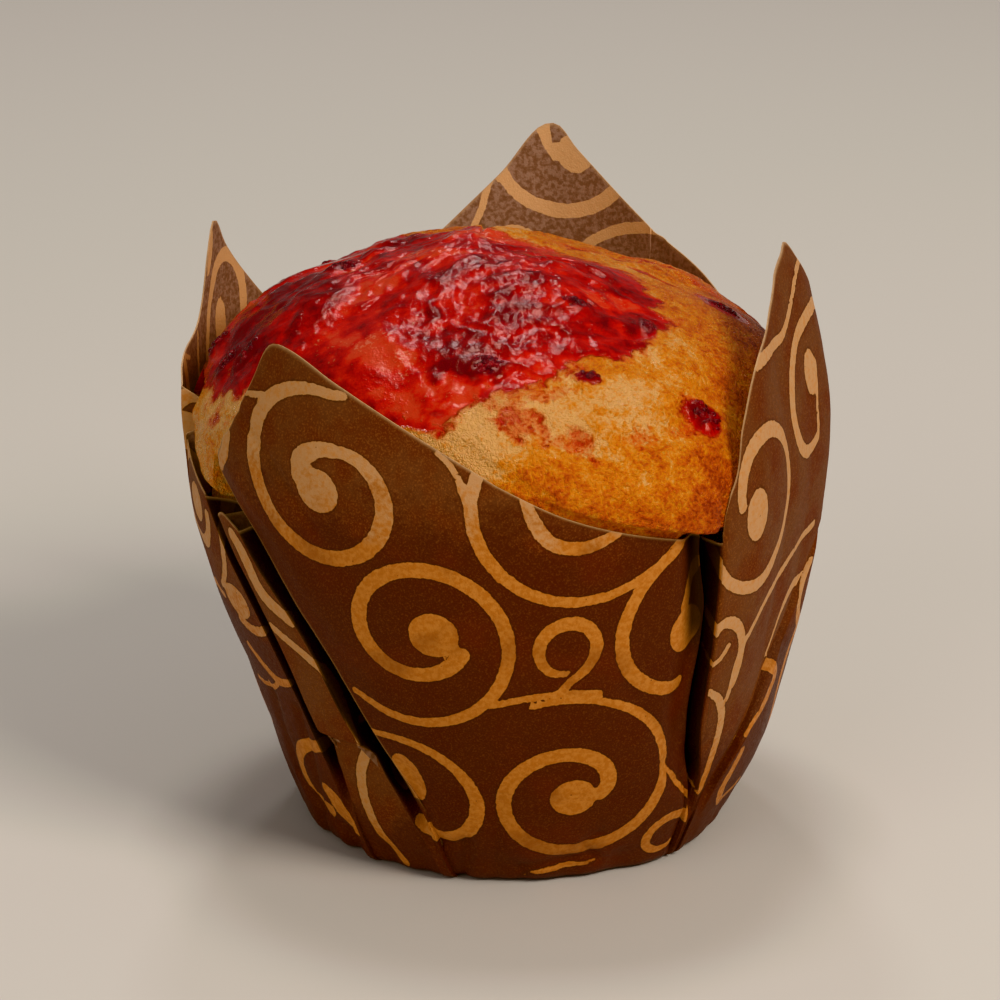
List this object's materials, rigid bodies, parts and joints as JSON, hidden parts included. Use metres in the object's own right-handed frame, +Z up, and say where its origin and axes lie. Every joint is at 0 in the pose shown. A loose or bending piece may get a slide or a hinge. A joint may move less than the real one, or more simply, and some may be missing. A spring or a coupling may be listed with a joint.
{
  "type": "muffin in a tulip case",
  "caption": "Raspberry muffin with a glossy domed top, baked in a patterned parchment tulip case with pointed petals and folded pleats.",
  "frame": {"origin": "middle of the case's flat base, on the surface that the muffin stands on", "axes": "+Z up through the cake, +X to the muffin's right, -Y to the front, where the lower side of the case lets the cake show"},
  "size_m": [0.0727, 0.0768, 0.0701],
  "materials": {
    "cake": "golden baked crust with a soft grain, stained and glazed red by cooked raspberries",
    "paper": "dark brown printed parchment with pale scrolls, satin and translucent where it is greased"
  },
  "bodies": {
    "root": {"muffin": "cake", "paper_case": "paper"}
  },
  "joints": []
}
